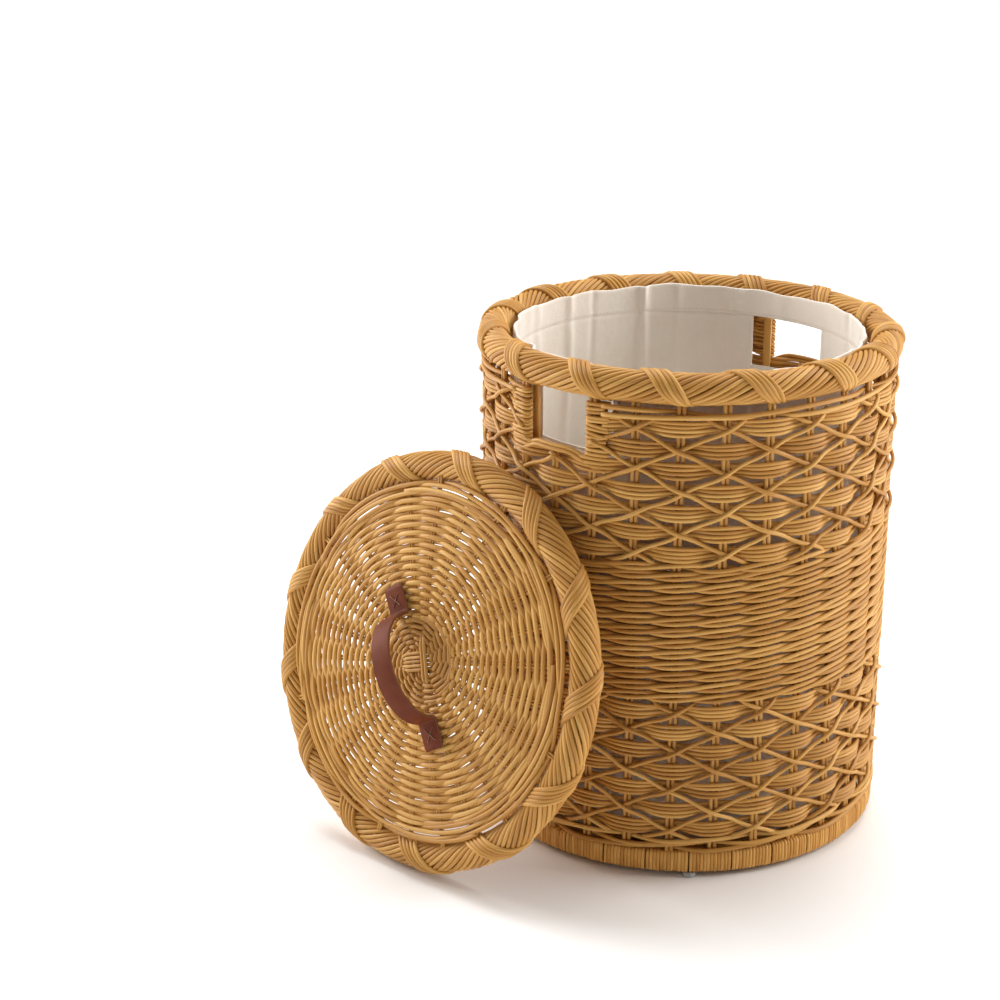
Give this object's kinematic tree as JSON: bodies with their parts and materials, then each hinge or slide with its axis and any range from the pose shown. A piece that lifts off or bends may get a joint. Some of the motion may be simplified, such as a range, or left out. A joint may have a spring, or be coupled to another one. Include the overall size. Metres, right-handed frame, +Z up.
{
  "type": "laundry basket",
  "caption": "Round woven cane laundry basket with a lift-out cotton liner, hand holes in its wall and a loose woven lid with a leather strap handle.",
  "frame": {"origin": "middle of the whole object's box, on the floor, with the lid leaning on the basket", "axes": "+Z up; the hand holes face -Y and +Y, and the lid leans on the -Y side with its top face towards -Y"},
  "size_m": [0.486, 0.5374, 0.4827],
  "materials": {
    "rattan": "natural peeled cane, satin",
    "wrap_cane": "split cane wrapping, satin",
    "core_cane": "raw cane core, matt",
    "cotton": "off-white plain cotton",
    "strap_leather": "red-brown smooth leather with raw edges",
    "thread": "waxed thread",
    "clear_plastic": "clear soft plastic"
  },
  "bodies": {
    "basket": {"rim_border": "rattan", "rim_hoop": "core_cane", "upper_wale_left": "rattan", "upper_wale_right": "rattan", "upper_open_weave": "rattan", "middle_close_weave": "rattan", "lower_open_weave": "rattan", "lower_wale": "rattan", "foot_ring_wrap": "wrap_cane", "foot_hoop": "core_cane", "base_mat": "rattan", "glide_1": "clear_plastic", "glide_2": "clear_plastic", "glide_3": "clear_plastic", "glide_4": "clear_plastic", "stake_pair_01": "rattan", "stake_pair_02": "rattan", "stake_pair_03": "rattan", "stake_pair_04": "rattan", "stake_pair_05": "rattan", "stake_pair_06": "rattan", "stake_pair_07": "rattan", "stake_pair_08": "rattan", "stake_pair_09": "rattan", "stake_pair_10": "rattan", "stake_pair_11": "rattan", "stake_pair_12": "rattan", "stake_pair_13": "rattan", "stake_pair_14": "rattan", "stake_pair_15": "rattan", "stake_pair_16": "rattan", "stake_pair_17": "rattan", "stake_pair_18": "rattan", "stake_pair_19": "rattan", "stake_pair_20": "rattan", "stake_pair_21": "rattan", "stake_pair_22": "rattan", "stake_pair_23": "rattan", "stake_pair_24": "rattan", "stake_pair_25": "rattan", "stake_pair_26": "rattan", "stake_pair_27": "rattan", "stake_pair_28": "rattan", "short_stake_front": "rattan", "short_stake_back": "rattan"},
    "liner": {"liner_wall": "cotton", "liner_base": "cotton", "liner_hem": "cotton"},
    "lid": {"lid_disc": "rattan", "lid_wale_ring": "rattan", "lid_border": "rattan", "lid_hoop": "core_cane", "handle_strap": "strap_leather", "stitches_upper": "thread", "stitches_lower": "thread"}
  },
  "joints": [
    {"name": "liner_lift", "type": "slide", "parent": "basket", "child": "liner", "axis": [0, 0, 1], "range_m": [0, 0.47]},
    {"name": "lid_lift", "type": "slide", "parent": "basket", "child": "lid", "axis": [0, -0.7071, 0.7071], "range_m": [0, 0.4]}
  ]
}
